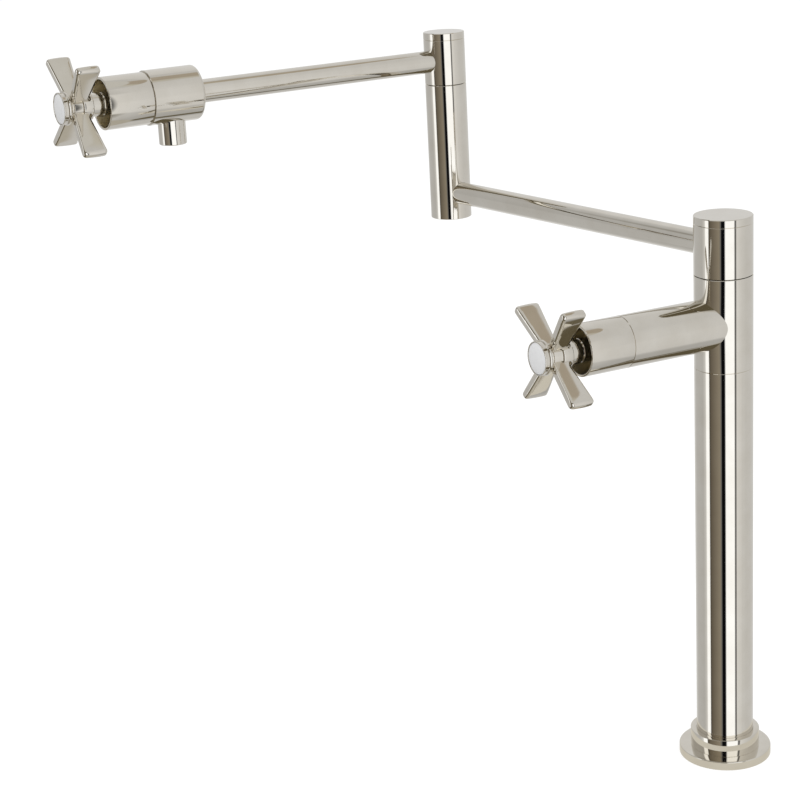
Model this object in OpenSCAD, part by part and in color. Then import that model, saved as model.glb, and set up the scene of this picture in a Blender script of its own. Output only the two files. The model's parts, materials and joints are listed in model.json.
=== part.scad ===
// Deck-mounted articulated pot filler with two cross-handle quarter-turn valves.
// Sizes are in millimetres. Z points up and Z = 0 is the deck the flange stands on.
// The column valve points along -Y. The arms are drawn part-way round, as in use.

/* [Base and deck] */
// Flange diameter on the deck
flange_d = 61.6; // [50:0.2:80]
// Flange thickness
flange_h = 3; // [2:0.2:6]
// Collar diameter above the flange
collar_d = 46.2; // [42:0.2:56]
// Collar height
collar_h = 12; // [6:0.5:20]
// Deck thickness that is clamped
deck_t = 30; // [10:1:38]
// Thread diameter of the shank through the deck
shank_d = 28; // [24:1:32]
// Depth of the shank below the deck
shank_depth = 62; // [50:1:80]
// Thread diameter of the supply inlet, half-inch pipe size
inlet_d = 20.9; // [20.9:0.1:26.4]
// Free thread length of the supply inlet
inlet_len = 18; // [12:1:25]

/* [Column] */
// Column diameter
column_d = 38; // [32:0.5:45]
// Column wall
column_wall = 2; // [1.5:0.1:3]
// Height of the seam under the column valve
valve_bottom_z = 274.4; // [200:0.2:320]
// Height of the valve section
valve_section_h = 61.2; // [50:0.2:80]
// Height of the swivel head above the valve section
swivel_h = 33.7; // [30:0.1:45]
// Height of the swivel cap
swivel_cap_h = 5; // [3:0.1:8]
// Lower arm axis above the swivel seam
swivel_rise = 17.9; // [15:0.1:25]

/* [Arms] */
// Arm tube diameter
arm_d = 16; // [12.7:0.1:19]
// Arm tube wall
arm_wall = 1.5; // [1:0.1:2.5]
// Column axis to knuckle axis
lower_reach = 282; // [200:1:350]
// Knuckle axis to the back face of the spout body
upper_reach = 199.5; // [150:0.5:260]
// Lower arm heading in plan, from +X
lower_heading = 188.8; // [150:0.1:270]
// Upper arm heading in plan, from +X
upper_heading = 272.1; // [200:0.1:340]

/* [Knuckle] */
// Knuckle diameter
knuckle_d = 30; // [26:0.5:36]
// Height of the knuckle's lower end
knuckle_bottom_z = 334.6; // [300:0.1:345]
// Height of the seam under the elbow head
elbow_seam_z = 433.45; // [400:0.05:480]
// Elbow head height
elbow_h = 32.6; // [30:0.1:45]
// Elbow cap height
elbow_cap_h = 5.1; // [3:0.1:8]
// Upper arm axis above the elbow seam
elbow_rise = 17; // [15:0.1:25]

/* [Valves] */
// Column branch and sleeve diameter
branch_d = 33.5; // [31:0.1:36]
// Column axis to the end of the branch
branch_reach = 79; // [70:0.5:95]
// Spout body diameter
spout_body_d = 37.3; // [34:0.1:42]
// Spout body length
spout_body_len = 37.1; // [35:0.1:50]
// Spout valve sleeve diameter
spout_sleeve_d = 35.6; // [33:0.1:40]
// Length of both valve sleeves
sleeve_len = 31.6; // [26:0.1:40]
// Nozzle diameter
nozzle_d = 19; // [17:0.1:22]
// Nozzle end below the spout axis
nozzle_drop = 33.2; // [28:0.1:50]
// Nozzle axis behind the spout seam
nozzle_back = 17.8; // [15:0.1:20]

/* [Cross handles] */
// Handle axis to blade tip
handle_r = 41; // [30:0.5:41]
// Gap between a blade tip and the lower arm that swings over it
tip_gap = 0.3; // [0.2:0.1:4]
// Blade width at the hub
blade_root_w = 11.6; // [9:0.1:14]
// Blade width at the tip
blade_tip_w = 17.2; // [12:0.1:20]
// Blade thickness along its ridge
blade_t = 6.2; // [5:0.1:8]
// Porcelain index diameter
index_d = 20.2; // [16:0.1:24]
// Turn of the column handle at rest
column_handle_turn = 52; // [0:1:89]
// Turn of the spout handle at rest
spout_handle_turn = 44; // [0:1:89]

/* [Output] */
// Node to draw, or all

/* [Hidden] */
$fn = 96;
eps = 1;

// Fits and breaks
run_fit = 0.05;
seat_fit = 0.05;
film = 0.03;
joint_gap = 0.4;
seam_break = 0.3;
groove_room = 1.2;
cap_edge = 0.4;

// Base and deck
flange_edge = 1.5;
collar_edge = 0.8;
gasket_h = 1.2;
gasket_od = 54;
gasket_bore_d = 36;
shank_hole_d = shank_d + 0.6;
foot_h = 20;
waterway_d = 13;
washer_od = 50;
deck_washer_t = 2;
nut_flats = 41;
nut_h = 10;

// Riser tube and its sockets
riser_d = 16;
riser_wall = 1.5;
riser_bottom_z = 8;
riser_socket = 10;
riser_seal_lift = 5.5;
riser_seal_d = 1.4;
spigot_h = 6;
foot_d = column_d - 2 * column_wall - 2 * seat_fit;

// Column heights
valve_top_z = valve_bottom_z + valve_section_h;
valve_axis_z = valve_top_z + swivel_rise - arm_d / 2 - tip_gap - handle_r;
valve_rise = valve_axis_z - valve_bottom_z;
riser_top_z = valve_bottom_z + riser_socket;

// Swivels
column_journal_d = 16;
knuckle_journal_d = 14;
column_washer_d = 27;
knuckle_washer_d = 22;
spindle_thread_h = 13;
spindle_wall = 3;
spindle_port_d = 6;
spindle_way_above = 4.5;
thrust_t = 1.2;
pocket_h = 5.1;
washer_room = 0.6;
chamber_gap = 2.8;
chamber_half = 6.8;
swivel_seal_d = 1.8;
swivel_seal_low = 6;
retainer_t = 1.4;
retainer_screw_d = 4.9;
retainer_screw_len = 5.5;
retainer_head_d = 9;
retainer_head_h = 2;
cap_lip_t = 1.6;
cap_lip_h = 2.2;
arm_stop_wall = 1.2;

// Knuckle post
knuckle_way_d = 12;
arm_stop_in_post = 7.6;
plug_d = 14;
plug_h = 8;
plug_recess = 0.6;
plug_key_w = 6;
plug_key_h = 4;

// Valve body ways
inlet_way_d = 12;
seat_way_d = 9;
return_way_d = 5.6;
return_offset = 12.4;
outlet_way_d = 12;
way_overrun = 0.5;

// Quarter-turn cartridge, along its own axis with Z = 0 at the sleeve seam
seat_depth = 30;
seat_seal_t = 1.8;
cartridge_d = 16.2;
cartridge_room = 0.2;
disc_pocket_d = 14.2;
disc_d = 14;
fixed_disc_t = 3.3;
moving_disc_t = 3.37;
disc_port_r = 5.6;
disc_web = 1.2;
disc_slot_w = 2.6;
disc_slot_h = 1.4;
chamber_d = 26;
chamber_back = 22;
chamber_front = 13;
cartridge_thread_d = 22;
cartridge_floor = 13.5;
window_w = 9;
window_h = 5.2;
web_t = 2.4;
hex_flats = 25;
hex_h = 5;
neck_d = 14;
neck_top = 13;
cartridge_seal_d = 1.8;
cartridge_seal_back = 3.4;
sleeve_wall = 1.5;
disc_back = -seat_depth + seat_seal_t;
moving_disc_back = disc_back + fixed_disc_t + film;
driver_back = moving_disc_back + moving_disc_t;
window_back = cartridge_floor + 0.7 + window_h;

// Stem
stem_d = 10;
driver_d = 13.6;
driver_t = 2;
shaft_d = 7;
shoulder_d = 12.8;
shoulder_h = 1;
shoulder_gap = 0.1;
square_w = 6;
square_top = 24;
stem_seal_d = 1.6;
stem_seal_backs = [9, 5];

// Skirt between stem and handle, with a square tenon at each handle's own turn
skirt_bottom = 14;
skirt_back_d = 15.2;
skirt_front_d = 15.8;
skirt_groove_d = 13.6;
skirt_groove_w = 1;
skirt_groove_back = 0.2;
hub_square_w = 8;
hub_square_h = 9;

// Hub, bezel and index, measured out from the sleeve mouth
hub_setback = 8.4;
hub_back = sleeve_len + hub_setback;
hub_ring_h = 7.2;
hub_ring_d = 18.4;
hub_d = 16;
hub_len = 13.4;
hub_neck_d = 14.6;
hub_neck_h = 2.7;
bead_d = 1.3;
blade_setback = 9.4;
blade_mid = hub_back + blade_setback;
blade_edge = 2;
blade_crown = 0.5;
ridge_w = 1;
ridge_end_r = 8;
tip_corner_r = 2.6;
root_corner_r = 2.2;
tip_round_r = 6;
tip_setback = 1;
fillet_r = 4;
fillet_t = 3;
handle_screw_d = 4.9;
handle_screw_len = 16;
handle_head_d = 8.8;
handle_head_h = 3.2;
screw_floor = 1.2;
screw_play = 0.5;
handle_key_w = 4;
retainer_key_w = 3;
bezel_back = hub_back + hub_len + hub_neck_h;
bezel_len = 5.5;
bezel_d = 21.8;
bezel_waist_d = 21.2;
bezel_back_d = 22.8;
bezel_lip = 1;
bezel_bead = 2.3;
boss_d = 9.2;
boss_h = 2.4;
index_t = 3;
index_crown_r = 90;
index_crown = 0.4;

// Nozzle and aerator, measured down from the spout axis
spout_edge = 2.2;
arm_socket = 5;
nozzle_spigot_d = 15;
nozzle_spigot_top = 13.8;
nozzle_way_d = 10;
nozzle_pocket_d = 16;
nozzle_pocket_top = 24;
nozzle_edge = 0.5;
aerator_seal_t = 1;
cage_wall = 1.4;
cage_lift = 0.4;
spider_h = 1.2;
screen_t = 0.8;
screen_hole_d = 1.3;
screen_pitch = 2.4;
spider_bar_w = 1.2;
cage_top = nozzle_pocket_top + aerator_seal_t;
cage_h = nozzle_drop - cage_lift - cage_top;
cage_d = nozzle_pocket_d - 2 * seat_fit;
screen_d = cage_d - 2 * cage_wall - 2 * seat_fit;

// Plan positions
knuckle_x = lower_reach * cos(lower_heading);
knuckle_y = lower_reach * sin(lower_heading);

// Colours
nickel = [0.80, 0.77, 0.71];
brass = [0.78, 0.62, 0.33];
steel = [0.72, 0.72, 0.74];
rubber = [0.12, 0.12, 0.12];
plastic = [0.85, 0.85, 0.82];
ceramic = [0.93, 0.90, 0.84];
porcelain = [0.97, 0.97, 0.96];

// Frames for what sits on each valve axis and on each swivel

module at_column_valve() {
  translate([0, -branch_reach, valve_axis_z]) rotate([90, 0, 0]) children();
}

module at_knuckle(z) {
  translate([knuckle_x, knuckle_y, z]) children();
}

module at_spout_valve() {
  at_knuckle(elbow_seam_z + elbow_rise)
    rotate([0, 0, upper_heading + 90]) rotate([90, 0, 0])
      translate([0, 0, upper_reach + spout_body_len]) children();
}

module at_column_swivel() {
  translate([0, 0, valve_top_z]) children();
}

module at_elbow() {
  at_knuckle(elbow_seam_z) children();
}

// Turns a shape that runs along Z so that it runs along a heading in plan
module along(heading, z) {
  rotate([0, 0, heading]) translate([0, 0, z]) rotate([0, 90, 0]) children();
}

// Basic turned shapes

module ring(od, id, h) {
  difference() {
    cylinder(d = od, h = h);
    translate([0, 0, -eps]) cylinder(d = id, h = h + 2 * eps);
  }
}

// Turned bar with a chamfer at each end
module barrel(d, h, low_break, high_break) {
  rotate_extrude()
    polygon([
      [0, 0], [d / 2 - low_break, 0], [d / 2, low_break],
      [d / 2, h - high_break], [d / 2 - high_break, h], [0, h]
    ]);
}

// Disc with a rounded upper edge
module soft_disc(d, h, edge) {
  rotate_extrude() {
    square([d / 2 - edge, h]);
    square([d / 2, h - edge]);
    translate([d / 2 - edge, h - edge]) circle(r = edge);
  }
}

// O-ring whose outer radius is given, centred on Z = 0
module o_ring_outside(outer_r, section_d) {
  rotate_extrude() translate([outer_r - section_d / 2, 0]) circle(d = section_d);
}

// Groove for such an O-ring, cut from a round bar
module o_ring_groove(outer_r, section_d) {
  translate([0, 0, -section_d * groove_room / 2])
    ring(2 * outer_r + 2 * eps, 2 * (outer_r - section_d), section_d * groove_room);
}

// Base and deck

module deck_gasket() color(rubber) {
  ring(gasket_od, gasket_bore_d, gasket_h);
}

module base_flange() color(nickel) {
  difference() {
    soft_disc(flange_d, flange_h, flange_edge);
    translate([0, 0, -eps]) cylinder(d = shank_hole_d, h = flange_h + 2 * eps);
    translate([0, 0, -eps])
      ring(gasket_od + 2 * seat_fit, gasket_bore_d - 2 * seat_fit, gasket_h + eps);
  }
}

module base_collar() color(nickel) {
  translate([0, 0, flange_h]) difference() {
    soft_disc(collar_d, collar_h, collar_edge);
    translate([0, 0, -eps]) cylinder(d = column_d + 2 * seat_fit, h = collar_h + 2 * eps);
  }
}

module mounting_shank() color(brass) {
  difference() {
    union() {
      translate([0, 0, flange_h]) cylinder(d = foot_d, h = foot_h - flange_h);
      translate([0, 0, -shank_depth]) cylinder(d = shank_d, h = shank_depth + flange_h + eps);
      translate([0, 0, -shank_depth - inlet_len])
        barrel(inlet_d, inlet_len + eps, seam_break, 0);
    }
    translate([0, 0, -shank_depth - inlet_len - eps])
      cylinder(d = waterway_d, h = shank_depth + inlet_len + foot_h + 2 * eps);
    translate([0, 0, riser_bottom_z]) cylinder(d = riser_d + 2 * seat_fit, h = foot_h);
    translate([0, 0, riser_bottom_z + riser_seal_lift]) riser_seal_groove();
  }
}

module under_deck_seal() color(rubber) {
  translate([0, 0, -deck_t - deck_washer_t]) ring(washer_od, shank_hole_d, deck_washer_t);
}

module clamp_washer() color(steel) {
  translate([0, 0, -deck_t - 2 * deck_washer_t]) ring(washer_od, shank_hole_d, deck_washer_t);
}

module mounting_nut() color(brass) {
  translate([0, 0, -deck_t - 2 * deck_washer_t - nut_h]) difference() {
    cylinder(d = nut_flats / cos(30), h = nut_h, $fn = 6);
    translate([0, 0, -eps]) cylinder(d = shank_d + 2 * seat_fit, h = nut_h + 2 * eps);
  }
}

// Column

module column_tube() color(nickel) {
  translate([0, 0, flange_h]) difference() {
    barrel(column_d, valve_bottom_z - flange_h, 0, seam_break);
    translate([0, 0, -eps]) cylinder(d = column_d - 2 * column_wall, h = valve_bottom_z);
  }
}

module riser_tube() color(brass) {
  translate([0, 0, riser_bottom_z])
    ring(riser_d, riser_d - 2 * riser_wall, riser_top_z - riser_bottom_z);
}

module riser_seal_groove() {
  translate([0, 0, -riser_seal_d * groove_room / 2])
    cylinder(d = riser_d + 2 * riser_seal_d, h = riser_seal_d * groove_room);
}

module riser_seals() color(rubber) {
  for (z = [riser_bottom_z + riser_seal_lift, riser_top_z - riser_seal_lift])
    translate([0, 0, z]) o_ring_outside(riser_d / 2 + riser_seal_d, riser_seal_d);
}

// Bores that a cartridge needs in the body that carries it
module valve_pocket() {
  translate([0, 0, -seat_depth]) cylinder(d = cartridge_d + cartridge_room, h = seat_depth);
  translate([0, 0, -chamber_back]) cylinder(d = chamber_d, h = chamber_back - chamber_front);
  translate([0, 0, -chamber_front - eps])
    cylinder(d = cartridge_thread_d + 2 * seat_fit, h = chamber_front + 2 * eps);
}

module valve_body() color(nickel) {
  bore_top = valve_axis_z + return_offset;
  difference() {
    union() {
      translate([0, 0, valve_bottom_z])
        barrel(column_d, valve_section_h, seam_break, seam_break);
      translate([0, 0, valve_bottom_z - spigot_h])
        cylinder(d = foot_d, h = spigot_h + eps);
      translate([0, 0, valve_axis_z]) rotate([90, 0, 0])
        barrel(branch_d, branch_reach, 0, seam_break);
    }
    translate([0, 0, valve_bottom_z - spigot_h - eps])
      cylinder(d = riser_d + 2 * seat_fit, h = spigot_h + eps + riser_socket);
    translate([0, 0, riser_top_z - riser_seal_lift]) riser_seal_groove();
    translate([0, 0, valve_bottom_z])
      cylinder(d = inlet_way_d, h = valve_rise + seat_way_d / 2 + way_overrun);
    translate([0, 0, valve_axis_z]) rotate([90, 0, 0])
      cylinder(d = seat_way_d, h = branch_reach - seat_depth + eps);
    translate([0, 0, bore_top]) rotate([90, 0, 0])
      cylinder(d = return_way_d, h = branch_reach - (chamber_back + chamber_front) / 2);
    translate([0, 0, bore_top - return_way_d / 2 - way_overrun])
      cylinder(d = outlet_way_d, h = valve_section_h - valve_rise);
    translate([0, 0, valve_top_z - spindle_thread_h])
      cylinder(d = column_journal_d + 2 * seat_fit, h = spindle_thread_h + eps);
    at_column_valve() valve_pocket();
  }
}

// Quarter-turn valve pieces, drawn once and used on both valves

module seat_seal() color(rubber) {
  translate([0, 0, -seat_depth]) ring(cartridge_d, seat_way_d, seat_seal_t);
}

// Pair of wedge-shaped ports through a disc
module disc_ports(h) {
  for (a = [0, 180])
    rotate([0, 0, a]) intersection() {
      cylinder(r = disc_port_r, h = h);
      linear_extrude(height = h)
        polygon([[disc_web, 0], [disc_port_r + 1, -disc_port_r], [disc_port_r + 1, disc_port_r]]);
    }
}

module fixed_disc() color(ceramic) {
  translate([0, 0, disc_back]) difference() {
    cylinder(d = disc_d, h = fixed_disc_t);
    translate([0, 0, -eps]) disc_ports(fixed_disc_t + 2 * eps);
  }
}

module moving_disc() color(ceramic) {
  translate([0, 0, moving_disc_back]) difference() {
    cylinder(d = disc_d, h = moving_disc_t);
    translate([0, 0, -eps]) rotate([0, 0, 90]) disc_ports(moving_disc_t + 2 * eps);
    translate([-disc_d, -disc_slot_w / 2, moving_disc_t - disc_slot_h])
      cube([2 * disc_d, disc_slot_w, disc_slot_h + eps]);
  }
}

module cartridge() color(brass) {
  difference() {
    union() {
      translate([0, 0, disc_back]) cylinder(d = cartridge_d, h = -disc_back);
      translate([0, 0, -chamber_front])
        cylinder(d = cartridge_thread_d, h = chamber_front + web_t + eps);
      translate([0, 0, web_t]) cylinder(d = hex_flats / cos(30), h = hex_h, $fn = 6);
      translate([0, 0, web_t]) cylinder(d = neck_d, h = neck_top - web_t);
    }
    translate([0, 0, disc_back - eps])
      cylinder(d = disc_pocket_d, h = -disc_back - cartridge_floor + eps);
    translate([0, 0, disc_back - eps])
      cylinder(d = stem_d + 2 * run_fit, h = neck_top - disc_back + 2 * eps);
    translate([-window_w / 2, -cartridge_d, -window_back])
      cube([window_w, 2 * cartridge_d, window_h]);
    translate([0, 0, -cartridge_seal_back])
      o_ring_groove(cartridge_thread_d / 2 + seat_fit, cartridge_seal_d);
  }
}

module cartridge_seal() color(rubber) {
  translate([0, 0, -cartridge_seal_back])
    o_ring_outside(cartridge_thread_d / 2 + seat_fit, cartridge_seal_d);
}

module sleeve(d) color(nickel) {
  difference() {
    barrel(d, sleeve_len, seam_break, seam_break);
    translate([0, 0, -eps]) cylinder(d = cartridge_thread_d + 2 * seat_fit, h = sleeve_len);
    translate([0, 0, web_t]) cylinder(d = d - 2 * sleeve_wall, h = sleeve_len);
  }
}

module stem() color(brass) {
  difference() {
    union() {
      difference() {
        translate([0, 0, driver_back]) cylinder(d = driver_d, h = driver_t);
        translate([0, 0, driver_back - eps]) rotate([0, 0, 90]) disc_ports(driver_t + 2 * eps);
      }
      intersection() {
        translate([0, 0, driver_back - disc_slot_h]) cylinder(d = driver_d, h = disc_slot_h + eps);
        translate([-disc_d, seat_fit - disc_slot_w / 2, driver_back - disc_slot_h + seat_fit])
          cube([2 * disc_d, disc_slot_w - 2 * seat_fit, disc_slot_h + driver_t]);
      }
      translate([0, 0, driver_back]) cylinder(d = shaft_d, h = -cartridge_floor - driver_back);
      translate([0, 0, -cartridge_floor - shoulder_gap - shoulder_h])
        cylinder(d = shoulder_d, h = shoulder_h);
      translate([0, 0, -cartridge_floor - shoulder_h])
        cylinder(d = stem_d, h = neck_top + cartridge_floor + shoulder_h);
      translate([-square_w / 2, -square_w / 2, neck_top - eps])
        cube([square_w, square_w, square_top - neck_top + eps]);
    }
    for (back = stem_seal_backs)
      translate([0, 0, -back]) o_ring_groove(stem_d / 2 + run_fit / 2, stem_seal_d);
  }
}

module stem_seals() color(rubber) {
  for (back = stem_seal_backs)
    translate([0, 0, -back]) o_ring_outside(stem_d / 2 + run_fit / 2, stem_seal_d);
}

module skirt(turn) color(nickel) {
  groove_z = sleeve_len - skirt_groove_back;
  difference() {
    union() {
      translate([0, 0, skirt_bottom]) cylinder(d = skirt_groove_d, h = hub_back - skirt_bottom);
      translate([0, 0, skirt_bottom])
        barrel(skirt_back_d, groove_z - skirt_bottom, seam_break, seam_break);
      translate([0, 0, groove_z + skirt_groove_w])
        barrel(skirt_front_d, hub_back - groove_z - skirt_groove_w, seam_break, seam_break);
      rotate([0, 0, turn]) translate([-hub_square_w / 2, -hub_square_w / 2, hub_back - eps])
        cube([hub_square_w, hub_square_w, hub_square_h + eps]);
    }
    translate([-square_w / 2 - seat_fit, -square_w / 2 - seat_fit, skirt_bottom - eps])
      cube([square_w + 2 * seat_fit, square_w + 2 * seat_fit, square_top - skirt_bottom + eps]);
    translate([0, 0, square_top])
      cylinder(d = handle_screw_d + 2 * seat_fit, h = hub_back + hub_square_h);
  }
}

// Coin with a rounded rim, its axis across the blade
module coin(r, t) {
  rotate([90, 0, 0])
    for (slope = [0, 45, 90])
      cylinder(
        r = r - blade_edge * (1 - cos(slope)), h = t - 2 * blade_edge * (1 - sin(slope)),
        center = true, $fn = 24
      );
}

// Web that fills the corner between the hub ring and the back edge of a blade
module root_fillet() {
  back_edge = blade_mid - blade_root_w / 2;
  overlap = blade_edge / 2;
  translate([hub_ring_d / 2 - overlap, 0, back_edge + overlap])
    rotate([90, 0, 0]) linear_extrude(height = fillet_t, center = true) difference() {
      translate([0, -fillet_r - overlap]) square(fillet_r + overlap);
      translate([fillet_r + overlap, -fillet_r - overlap]) circle(r = fillet_r);
    }
}

// One flared blade along +X, crowned on both faces along a ridge from root to tip
module blade() {
  root_x = hub_d / 2 - root_corner_r;
  tip_x = handle_r - tip_corner_r - tip_setback;
  root_z = blade_root_w / 2 - root_corner_r;
  tip_z = blade_tip_w / 2 - tip_corner_r;
  edge_t = blade_t - 2 * blade_crown;
  translate([0, 0, blade_mid]) hull() {
    for (side = [-1, 1]) {
      translate([root_x, 0, side * root_z]) coin(root_corner_r, edge_t);
      translate([tip_x, 0, side * tip_z]) coin(tip_corner_r, edge_t);
    }
    translate([handle_r - tip_round_r, 0, 0]) coin(tip_round_r, edge_t);
    for (ridge_x = [root_x, handle_r - ridge_end_r])
      translate([ridge_x, 0, 0]) cube([ridge_w, blade_t, ridge_w], center = true);
  }
}

module cross_handle(turn) color(nickel) {
  socket = hub_square_w + 2 * seat_fit;
  rotate([0, 0, turn]) difference() {
    union() {
      for (k = [0:3]) rotate([0, 0, 90 * k]) {
        blade();
        root_fillet();
      }
      translate([0, 0, hub_back]) barrel(hub_ring_d, hub_ring_h, seam_break, bead_d);
      translate([0, 0, hub_back]) barrel(hub_d, hub_len, seam_break, bead_d / 2);
      translate([0, 0, hub_back]) cylinder(d = hub_neck_d, h = hub_len + hub_neck_h);
      for (k = [1, 3])
        translate([0, 0, hub_back + hub_len + k * hub_neck_h / 4])
          rotate_extrude() translate([hub_neck_d / 2, 0]) circle(d = bead_d);
    }
    translate([-socket / 2, -socket / 2, hub_back - eps])
      cube([socket, socket, hub_square_h + eps + seat_fit]);
    translate([0, 0, hub_back]) cylinder(d = handle_screw_d + screw_play, h = hub_len + hub_neck_h + eps);
    translate([0, 0, hub_back + hub_square_h + screw_floor])
      cylinder(d = handle_head_d + screw_play, h = hub_len);
  }
}

// Socket-head screw with its head on Z = 0 and its shank below
module socket_screw(shank_d, shank_len, head_d, head_h, key_w) {
  difference() {
    union() {
      translate([0, 0, -shank_len]) cylinder(d = shank_d, h = shank_len + eps);
      barrel(head_d, head_h, 0, seam_break);
    }
    translate([0, 0, head_h * 0.4]) cylinder(d = key_w / cos(30), h = head_h, $fn = 6);
  }
}

module handle_screw() color(steel) {
  translate([0, 0, hub_back + hub_square_h + screw_floor])
    socket_screw(handle_screw_d, handle_screw_len, handle_head_d, handle_head_h, handle_key_w);
}

module bezel() color(nickel) {
  recess_d = index_d + 2 * seat_fit;
  rim_z = bezel_len - index_t;
  translate([0, 0, bezel_back]) difference() {
    union() {
      rotate_extrude() {
        polygon([
          [0, 0], [(bezel_back_d - bezel_bead) / 2, 0], [bezel_waist_d / 2, bezel_bead / 2],
          [bezel_waist_d / 2, bezel_len - bezel_lip / 2], [(bezel_d - bezel_lip) / 2, bezel_len],
          [0, bezel_len]
        ]);
        translate([(bezel_back_d - bezel_bead) / 2, bezel_bead / 2]) circle(d = bezel_bead);
        translate([(bezel_d - bezel_lip) / 2, bezel_len - bezel_lip / 2]) circle(d = bezel_lip);
      }
      translate([0, 0, -boss_h]) cylinder(d = boss_d, h = boss_h + eps);
    }
    translate([0, 0, rim_z]) cylinder(d = recess_d, h = index_t + eps);
  }
}

module index_button() color(porcelain) {
  translate([0, 0, bezel_back + bezel_len - index_t]) intersection() {
    cylinder(d = index_d, h = index_t + index_crown + eps);
    translate([0, 0, index_t + index_crown - index_crown_r]) sphere(r = index_crown_r);
  }
}

// Swivel pieces, drawn once with Z = 0 at the seam and used at the column and the knuckle

function seal_heights(h, rise) = [swivel_seal_low, (rise + chamber_half + h - pocket_h) / 2];
function spindle_top(h) = h - pocket_h + run_fit + thrust_t;
function lip_id(washer_d) = washer_d + 1;
function lip_od(washer_d) = lip_id(washer_d) + 2 * cap_lip_t;

module head(d, h, rise, journal_d, washer_d, heading) color(nickel) {
  chamber_r = journal_d / 2 + chamber_gap;
  difference() {
    translate([0, 0, joint_gap]) barrel(d, h - joint_gap, seam_break, seam_break);
    translate([0, 0, -eps]) cylinder(d = journal_d + 2 * run_fit, h = h + 2 * eps);
    translate([0, 0, -eps]) cylinder(d = washer_d + washer_room, h = eps + thrust_t + run_fit);
    translate([0, 0, rise - chamber_half]) cylinder(r = chamber_r, h = 2 * chamber_half);
    translate([0, 0, h - pocket_h]) cylinder(d = washer_d + washer_room, h = pocket_h + eps);
    translate([0, 0, h - cap_lip_h])
      cylinder(d = lip_od(washer_d) + 2 * seat_fit, h = cap_lip_h + eps);
    along(heading, rise) {
      cylinder(d = arm_d - 2 * arm_wall, h = d);
      translate([0, 0, chamber_r + arm_stop_wall])
        cylinder(d = arm_d + 2 * seat_fit, h = d);
    }
  }
}

module cap(d, h, cap_h, washer_d) color(nickel) {
  translate([0, 0, h]) barrel(d, cap_h, seam_break, cap_edge);
  translate([0, 0, h - cap_lip_h]) ring(lip_od(washer_d), lip_id(washer_d), cap_lip_h + seam_break);
}

module spindle(journal_d, h, rise) color(brass) {
  way_d = journal_d - 2 * spindle_wall;
  top = spindle_top(h);
  seal_r = journal_d / 2 + run_fit / 2;
  difference() {
    translate([0, 0, -spindle_thread_h]) cylinder(d = journal_d, h = spindle_thread_h + top);
    translate([0, 0, -spindle_thread_h - eps])
      cylinder(d = way_d, h = spindle_thread_h + eps + rise + spindle_way_above);
    for (a = [0, 90])
      along(a, rise) cylinder(d = spindle_port_d, h = 2 * journal_d, center = true);
    for (z = seal_heights(h, rise)) translate([0, 0, z]) o_ring_groove(seal_r, swivel_seal_d);
    translate([0, 0, top - retainer_screw_len])
      cylinder(d = retainer_screw_d + 2 * seat_fit, h = retainer_screw_len + eps);
  }
}

module spindle_seals(journal_d, h, rise) color(rubber) {
  for (z = seal_heights(h, rise))
    translate([0, 0, z]) o_ring_outside(journal_d / 2 + run_fit / 2, swivel_seal_d);
}

module thrust_washers(journal_d, washer_d, h) color(plastic) {
  for (z = [0, h - pocket_h + run_fit])
    translate([0, 0, z]) ring(washer_d, journal_d + 2 * seat_fit, thrust_t);
}

module retainer(washer_d, h) color(steel) {
  translate([0, 0, spindle_top(h)]) ring(washer_d, retainer_screw_d + screw_play, retainer_t);
}

module retainer_screw(h) color(steel) {
  translate([0, 0, spindle_top(h) + retainer_t])
    socket_screw(retainer_screw_d, retainer_t + retainer_screw_len - 0.3,
                 retainer_head_d, retainer_head_h, retainer_key_w);
}

// Column valve and swivel

module column_seat_seal() { at_column_valve() seat_seal(); }
module column_fixed_disc() { at_column_valve() fixed_disc(); }
module column_cartridge() { at_column_valve() cartridge(); }
module column_cartridge_seal() { at_column_valve() cartridge_seal(); }
module column_sleeve() { at_column_valve() sleeve(branch_d); }
module column_moving_disc() { at_column_valve() moving_disc(); }
module column_stem() { at_column_valve() stem(); }
module column_stem_seals() { at_column_valve() stem_seals(); }
module column_skirt() { at_column_valve() skirt(column_handle_turn); }
module column_cross_handle() { at_column_valve() cross_handle(column_handle_turn); }
module column_handle_screw() { at_column_valve() handle_screw(); }
module column_bezel() { at_column_valve() bezel(); }
module column_index() { at_column_valve() index_button(); }

module column_spindle() {
  at_column_swivel() spindle(column_journal_d, swivel_h, swivel_rise);
}

module column_spindle_seals() {
  at_column_swivel() spindle_seals(column_journal_d, swivel_h, swivel_rise);
}

module column_thrust_washers() {
  at_column_swivel() thrust_washers(column_journal_d, column_washer_d, swivel_h);
}

module column_retainer() { at_column_swivel() retainer(column_washer_d, swivel_h); }
module column_retainer_screw() { at_column_swivel() retainer_screw(swivel_h); }

// Lower arm

module swivel_head() {
  at_column_swivel()
    head(column_d, swivel_h, swivel_rise, column_journal_d, column_washer_d, lower_heading);
}

module swivel_cap() { at_column_swivel() cap(column_d, swivel_h, swivel_cap_h, column_washer_d); }

// Radius at which an arm tube stops inside a swivel head
function arm_start(journal_d) = journal_d / 2 + chamber_gap + arm_stop_wall;

module lower_arm_tube() color(nickel) {
  start = arm_start(column_journal_d);
  at_column_swivel() along(lower_heading, swivel_rise) translate([0, 0, start])
    ring(arm_d, arm_d - 2 * arm_wall, lower_reach - arm_stop_in_post - start);
}

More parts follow.
